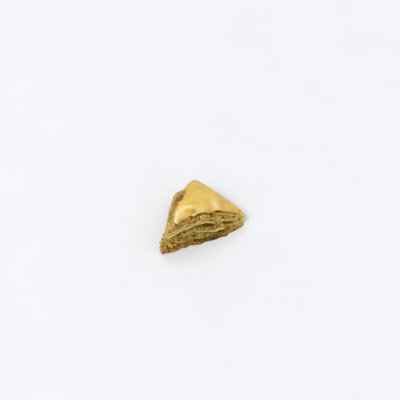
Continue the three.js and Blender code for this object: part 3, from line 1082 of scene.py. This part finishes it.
# soft patches of the sheet: middle, half sizes along and across, turn from +X in degrees, and how
# pale, how blushed and how browned each one is; the pale patches and the strongest blush are mostly painted
# highlights
sheetPatches = [
    ((-19.7, -13.6), (4.6, 1.4), 68, (0.85, 0.0, 0.0)),
    ((-15.2, -10.8), (4.0, 2.9), 45, (0.6, 0.0, 0.0)),
    ((-15.5, -11.8), (2.4, 1.6), 50, (0.1, 0.4, 0.0)),
    ((-7.2, -8.3), (4.8, 1.5), -5, (0.95, 0.0, 0.0)),
    ((-12.0, -15.7), (4.5, 1.1), 8, (0.0, 0.5, 0.12)),
    ((-4.8, -15.8), (2.2, 1.4), 0, (0.6, 0.1, 0.0)),
    ((0.4, -13.4), (4.0, 2.2), 5, (0.6, 0.1, 0.0)),
    ((4.0, -9.5), (6.0, 3.0), 5, (0.2, 0.0, 0.0)),
    ((15.4, -10.0), (6.5, 3.2), 86, (0.7, 0.0, 0.0)),
    ((7.4, -14.2), (3.0, 1.6), 10, (0.0, 0.0, 0.3)),
    ((-9.5, 3.0), (4.0, 1.5), 40, (0.0, 0.2, 0.6)),
    ((24.0, -9.0), (6.0, 3.0), -60, (0.0, 0.0, 0.12)),
]


sheetTint = {
    "browned": (0.8, 0.15, 0.8),  # edge: width in mm, least strength, and what noise adds
    "broken": (2.0, 0.9),  # edge of the part that has broken off: width in mm and strength
    # how much paler the raised folds are painted, as painted highlight
    "paleFolds": 0.3,
    "palePatches": 0.12,
    "most": 0.95,
    "nutAt": (-4.5, -13.0),  # where a nut shows through the sheet
    "nutHalf": (2.0, 1.25),
}


def alongTable(name, at):
    places, values = np.array(sheetForm[name]).T
    return np.interp(at, places, values)


def sheetSurface(x, y):
    here = np.stack([x, y, np.zeros_like(x)], -1)
    made = [height * (lumps(here, size, seed) - 0.5) for height, size, seed in sheetForm["unevenness"]]
    return topHeight(x, y) + foldHeight(x, y) + sum(made)


def glazedSheet():
    form = sheetForm
    edge = wallPoint(wallTurns, 1.0)[:, :2]
    outward = outwardAt(wallTurns, np.ones(turnCount))
    front = facingFront(outward)
    left = facingLeft(outward) * (1 - front)
    overhang = form["overhang"] * (1 - front - left)
    overhang = overhang + front * alongTable("front", edge[:, 0])
    overhang = overhang + left * alongTable("left", edge[:, 1])
    broken = fade(edge[:, 1], *form["tornFrom"]) * (1 - fade(edge[:, 1], *form["tornTo"]))
    torn = 1 + form["tornMore"] * left * broken
    overhang = overhang + form["ragged"] * wavy(wallTurns, 31, 9, 76, 6) * torn
    edge = edge + outward * overhang[:, None]
    blur = np.ones(form["softenedOver"]) / form["softenedOver"]
    softened = np.stack([np.convolve(np.tile(edge[:, k], 3), blur, "same") for k in (0, 1)], -1)
    roundedX, roundedY = form["roundedAt"]
    corner = soft(np.hypot(edge[:, 0] - roundedX, edge[:, 1] - roundedY), form["roundedReach"])
    edge = mix(edge, softened[turnCount : 2 * turnCount], corner[:, None])
    droop = form["usualDroop"] + front * (alongTable("droop", edge[:, 0]) - form["usualDroop"])
    tops, unders = [], []
    for way in 1 - np.linspace(0, 1, form["rings"]) ** form["ringPower"]:
        plan = mix(np.array(pieceForm["middle"]), edge, way)
        away = np.linalg.norm(edge - plan, axis=1)
        z = sheetSurface(plan[:, 0], plan[:, 1]) - droop * soft(away, form["droopWidth"])
        rim = soft(away, form["rim"])
        tops.append(np.c_[plan, z - form["rimDrop"] * rim])
        unders.append(np.c_[plan, z - form["thickness"] + form["rimRise"] * rim])
    # the last way is the middle point itself, which the shell closes
    return closedShell("glazedSheet", [*unders[-2::-1], *tops[:-1]]), edge


def paintSheet(obj, edge):
    places = pointsOf(obj)
    x, y = places[:, 0], places[:, 1]
    tint = {name: np.zeros(len(x)) for name in ("pale", "blush", "toast")}
    for (atX, atY), (halfAlong, halfAcross), degrees, strengths in sheetPatches:
        turned = math.radians(degrees)
        along = ((x - atX) * math.cos(turned) + (y - atY) * math.sin(turned)) / halfAlong
        across = ((y - atY) * math.cos(turned) - (x - atX) * math.sin(turned)) / halfAcross
        for name, strength in zip(tint, strengths):
            tint[name] += strength * np.exp(-(along**2) - across**2)
    fromEdge = alongLine(x, y, np.vstack([edge[::4], edge[:1]]))[0]
    form = sheetTint
    wide, least, more = form["browned"]
    tint["toast"] += soft(fromEdge, wide) * (least + more * lumps(places, 3.0, 41))
    wide, strength = form["broken"]
    broken = soft(fromEdge, wide) * fade(-x, -3, 4) * fade(y, -6, 0)
    tint["toast"] += strength * broken * lumps(places, 1.8, 42)
    # raised folds are painted paler, as painted highlight
    folds = form["paleFolds"] * np.clip(foldHeight(x, y), 0, 1)
    tint["pale"] += folds + form["palePatches"] * (lumps(places, 3.5, 43) - 0.5)
    for name, values in tint.items():
        setAttribute(obj, name, np.clip(values, 0, form["most"]))
    smudge = soft(x - form["nutAt"][0], form["nutHalf"][0]) * soft(y - form["nutAt"][1], form["nutHalf"][1])
    setAttribute(obj, "green", np.clip(smudge * (0.6 + 0.8 * lumps(places, 1.2, 44)), 0, 1))


sheet, sheetEdge = glazedSheet()
sheet.data.materials.append(finishes["sheet"])
paintSheet(sheet, sheetEdge)
report("glazed sheet made:", sheet)


# Loose crumbs of chopped nut that stick to the cut sides
looseSizes = {
    "Crumb Size": 0.62 * mm,
    "Crumb Spacing": 0.75 * mm,
    "Unevenness": 0.42 * mm,
    "From Crumbly": 0.25,
    "To Crumbly": 0.9,
    "Seed": 5,
}
chunkSizes = {
    "Crumb Size": 1.25 * mm,
    "Crumb Spacing": 2.1 * mm,
    "Unevenness": 0.75 * mm,
    "From Crumbly": 0.5,
    "To Crumbly": 0.8,
    "Seed": 7,
}
topCrumbSizes = {"Crumb Size": 0.7 * mm, "Crumb Spacing": 1.0 * mm, "Seed": 9}
baseCrumbSizes = {"Crumb Size": 0.65 * mm, "Crumb Spacing": 0.9 * mm, "Seed": 11}
crumbShape = {
    "smallest": (0.45, 0.35, 0.3),  # against the crumb size, along three ways
    "largest": (1.25, 1.0, 0.8),
    "growth": (0.75, 1.45),  # from a smooth patch to a crumbly one
    "brokenSize": 0.8,  # mm of the noise that breaks a crumb out of round
    "most": 1.2e6,  # crumbs to a square metre
}


def looseTree(material):
    form = crumbShape
    tree, given, result = newShapeTree("looseCrumbs", looseSizes)
    crumbly = addNode(tree, "GeometryNodeInputNamedAttribute", ["crumbly"])
    likely = addNode(tree, "ShaderNodeMapRange", (crumbly, given["From Crumbly"], given["To Crumbly"]))
    inputs = {
        "Mesh": given["Geometry"],
        "Distance Min": given["Crumb Spacing"],
        "Density Max": form["most"],
        "Density Factor": likely,
        "Seed": given["Seed"],
    }
    spots = addNode(tree, "GeometryNodeDistributePointsOnFaces", inputs, distribute_method="POISSON")
    ball = addNode(tree, "GeometryNodeMeshIcoSphere", {"Radius": given["Crumb Size"], "Subdivisions": 2})
    inputs = {"Min": (0, 0, 0), "Max": (6.28, 6.28, 6.28), "Seed": 1}
    turned = addNode(tree, "FunctionNodeRandomValue", inputs, data_type="FLOAT_VECTOR")
    inputs = {"Min": form["smallest"], "Max": form["largest"], "Seed": 2}
    sized = addNode(tree, "FunctionNodeRandomValue", inputs, data_type="FLOAT_VECTOR")
    larger = addNode(tree, "ShaderNodeMapRange", (crumbly, 0.3, 1.0, *form["growth"]))
    scaled = addNode(tree, "ShaderNodeVectorMath", (sized, larger), operation="SCALE")
    inputs = {"Points": spots, "Instance": ball, "Rotation": turned, "Scale": scaled}
    placed = addNode(tree, "GeometryNodeInstanceOnPoints", inputs)
    bit = addNode(tree, "FunctionNodeRandomValue", {"Min": 0.0, "Max": 1.0, "Seed": 3}, data_type="FLOAT")
    inputs = {"Geometry": placed, "Name": "bit", "Value": bit}
    marked = addNode(tree, "GeometryNodeStoreNamedAttribute", inputs, data_type="FLOAT", domain="INSTANCE")
    # each crumb is real before it is broken out of round, or all would break in the same way
    real = addNode(tree, "GeometryNodeRealizeInstances", [marked])
    place = addNode(tree, "GeometryNodeInputPosition")
    inputs = {"Vector": place, "Scale": 1 / (form["brokenSize"] * mm), "Detail": 1.0}
    rough = addNode(tree, "ShaderNodeTexNoise", inputs).outputs["Color"]
    centred = addNode(tree, "ShaderNodeVectorMath", (rough, (0.5, 0.5, 0.5)), operation="SUBTRACT")
    twice = addNode(tree, "ShaderNodeMath", (given["Unevenness"], 2.0), operation="MULTIPLY")
    offset = addNode(tree, "ShaderNodeVectorMath", (centred, twice), operation="SCALE")
    broken = addNode(tree, "GeometryNodeSetPosition", {"Geometry": real, "Offset": offset})
    flat = addNode(tree, "GeometryNodeSetShadeSmooth", {"Geometry": broken, "Shade Smooth": False})
    endShapeTree(tree, result, flat, material)
    return tree


def looseCrumbs(name, ground, sizes):
    # scatters crumbs over a copy of the ground, which itself drops out
    obj = newObject(name, ground.data.copy())
    shapeWith(loose, obj, sizes)
    paintZones(obj)
    return obj


loose = looseTree(finishes["nuts"])
nutCrumbs = looseCrumbs("nutCrumbs", filling, {})
nutChunks = looseCrumbs("nutChunks", filling, chunkSizes)
topCrumbs = looseCrumbs("topCrumbs", topBody, topCrumbSizes)
baseCrumbs = looseCrumbs("baseCrumbs", baseBody, baseCrumbSizes)
report("crumbs made:", nutCrumbs, nutChunks, topCrumbs, baseCrumbs)


layerPieces = {
    "top_pastry": ("glazed_pastry", [sheet, topBody, topLeaves, topCrumbs]),
    "nut_filling": ("pistachio_filling", [filling, fillingLeaves, nutCrumbs, nutChunks]),
    "base_pastry": ("browned_pastry", [baseBody, baseLeaves, baseCrumbs]),
}
for node, (slotName, pieces) in layerPieces.items():
    for piece in pieces:
        restOnFloor(piece)
        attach(piece, "root")
        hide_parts(node)
print("pieces set on their layers:", ", ".join(layerPieces))


# Floor, light and camera
setting = {
    "floorHalf": 4000,
    "skyColour": "#f7f9fc",
    "skyStrength": 0.7,
    "backdropStrength": 0.9,
    "lensMm": 63.0,
    "cameraAt": (-120.16, -335.22, 453.66),
    "right": (0.936, -0.352, 0.0),
    "forward": (0.225, 0.598, -0.769),
    "rollDegrees": -2.1,
}
floorLook = {
    "marks": (),
    "noise": {"glaze": (60.0, 2.0, 0.5)},
    "firstColour": "#f3f4f6",
    "layers": [],
    "shades": [("glaze", 0.3, 0.7, 0.98, 1.0)],
    "follows": {},
    "surface": {"Roughness": 0.6},
}
# soft suns: where each stands, how wide it is in degrees, and how strong
softLights = [
    {"name": "window", "towards": (-0.5, -0.22, 0.84), "wide": 24, "strength": 1.1, "colour": "#ffffff"},
    {"name": "backWindow", "towards": (-0.05, 0.62, 0.78), "wide": 16, "strength": 0.3, "colour": "#fff6f2"},
]


def stagedFloor():
    half = setting["floorHalf"]
    corners = [(-half, -half, 0), (half, -half, 0), (half, half, 0), (-half, half, 0)]
    obj = newMesh("floor", corners, [(0, 1, 2, 3)])
    material, tree, sources = newMaterial("glazedWhiteTable", floorLook)
    finishMaterial(tree, sources, floorLook)
    obj.data.materials.append(material)


def softLight(name, towards, wide, strength, colour):
    lamp = bpy.data.lights.new(name, "SUN")
    lamp.angle = math.radians(wide)
    lamp.energy = strength
    lamp.color = srgb(colour)[:3]
    obj = newObject(name, lamp)
    obj.location = towards
    obj.rotation_mode = "QUATERNION"
    obj.rotation_quaternion = (-obj.location).to_track_quat("-Z", "Y")


def camera():
    right, forward = np.array(setting["right"]), np.array(setting["forward"])
    right, forward = right / np.linalg.norm(right), forward / np.linalg.norm(forward)
    up = np.cross(right, forward)
    roll = math.radians(setting["rollDegrees"])
    lensX = math.cos(roll) * right + math.sin(roll) * up
    lensY = -math.sin(roll) * right + math.cos(roll) * up
    data = bpy.data.cameras.new("camera")
    data.lens = setting["lensMm"]
    data.sensor_width = 36
    data.clip_start = 0.01
    data.clip_end = 20
    obj = newObject("camera", data)
    turned = Matrix(np.stack([lensX, lensY, -forward], 1).tolist()).to_4x4()
    turned.translation = [c * mm for c in setting["cameraAt"]]
    obj.matrix_world = turned
    bpy.context.scene.camera = obj


def sky():
    world = bpy.data.worlds.new("room")
    world.use_nodes = True
    tree = world.node_tree
    background = tree.nodes["Background"]
    background.inputs["Color"].default_value = srgb(setting["skyColour"])
    # the backdrop looks as bright as the floor, and lights the piece more softly
    seen = addNode(tree, "ShaderNodeLightPath").outputs["Is Camera Ray"]
    levels = (setting["skyStrength"], setting["backdropStrength"])
    strength = addNode(tree, "ShaderNodeMapRange", (seen, 0.0, 1.0, *levels))
    tree.links.new(strength.outputs[0], background.inputs["Strength"])
    bpy.context.scene.world = world


stagedFloor()
for light in softLights:
    softLight(**light)
camera()
sky()
bpy.context.scene.view_settings.view_transform = "Standard"
print("floor, lights and camera set")
